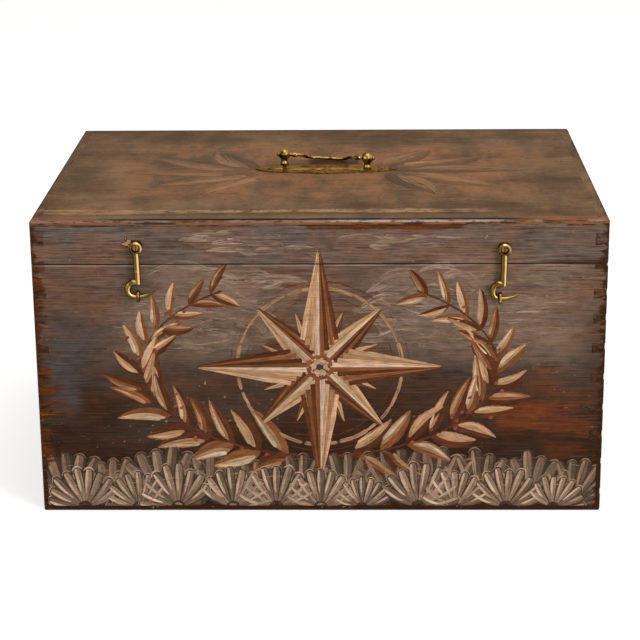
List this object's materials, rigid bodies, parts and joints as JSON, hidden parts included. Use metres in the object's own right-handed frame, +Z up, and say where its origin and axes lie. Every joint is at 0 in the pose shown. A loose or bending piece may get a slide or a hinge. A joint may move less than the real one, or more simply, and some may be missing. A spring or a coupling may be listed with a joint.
{
  "type": "sea chest",
  "caption": "Dovetailed wooden sea chest with a hinged lid, a brass bail handle on top and brass hooks that swing into screw eyes at the front.",
  "frame": {"origin": "on the ground under the middle of the box", "axes": "+X to the right seen from the hooks' side, +Y from the front to the back, +Z up"},
  "size_m": [0.61, 0.4775, 0.352],
  "materials": {
    "painted_pine": "worn slate-brown paint over pine",
    "bare_pine": "bare aged pine",
    "brad_iron": "rusted iron, painted over",
    "hinge_brass": "tarnished brass",
    "hook_brass": "aged polished brass",
    "handle_brass": "aged polished brass"
  },
  "bodies": {
    "case": {"case_front": "painted_pine", "case_back": "painted_pine", "case_left_end": "painted_pine", "case_right_end": "painted_pine", "case_bottom": "bare_pine", "bottom_brads": "brad_iron", "left_hinge_case_leaf": "hinge_brass", "right_hinge_case_leaf": "hinge_brass", "left_hinge_pin": "hinge_brass", "right_hinge_pin": "hinge_brass", "hinge_case_screws": "hinge_brass", "left_screw_eye": "hook_brass", "right_screw_eye": "hook_brass"},
    "lid": {"lid_front": "painted_pine", "lid_back": "painted_pine", "lid_left_end": "painted_pine", "lid_right_end": "painted_pine", "lid_top": "painted_pine", "top_brads": "brad_iron", "left_hinge_lid_leaf": "hinge_brass", "right_hinge_lid_leaf": "hinge_brass", "hinge_lid_screws": "hinge_brass", "hook_screws": "hook_brass", "handle_plate": "handle_brass", "left_handle_post": "handle_brass", "right_handle_post": "handle_brass", "handle_nuts": "handle_brass", "handle_plate_pins": "handle_brass"},
    "left_hook": {"left_hook": "hook_brass"},
    "right_hook": {"right_hook": "hook_brass"},
    "bail": {"handle_bail": "handle_brass"}
  },
  "joints": [
    {"name": "lid_hinge", "type": "hinge", "parent": "case", "child": "lid", "pos_m": [0, 0.2322, 0.281], "axis": [-1, 0, 0], "range_deg": [0, 180]},
    {"name": "left_hook_swing", "type": "hinge", "parent": "lid", "child": "left_hook", "pos_m": [-0.1922, -0.2285, 0.3008], "axis": [0, 1, 0], "range_deg": [0, 180]},
    {"name": "right_hook_swing", "type": "hinge", "parent": "lid", "child": "right_hook", "pos_m": [0.1947, -0.2285, 0.2978], "axis": [0, 1, 0], "range_deg": [0, 180]},
    {"name": "bail_swing", "type": "hinge", "parent": "lid", "child": "bail", "pos_m": [0.004, 0.008, 0.34295], "axis": [0.9987, 0, -0.051], "range_deg": [0, 210]}
  ]
}
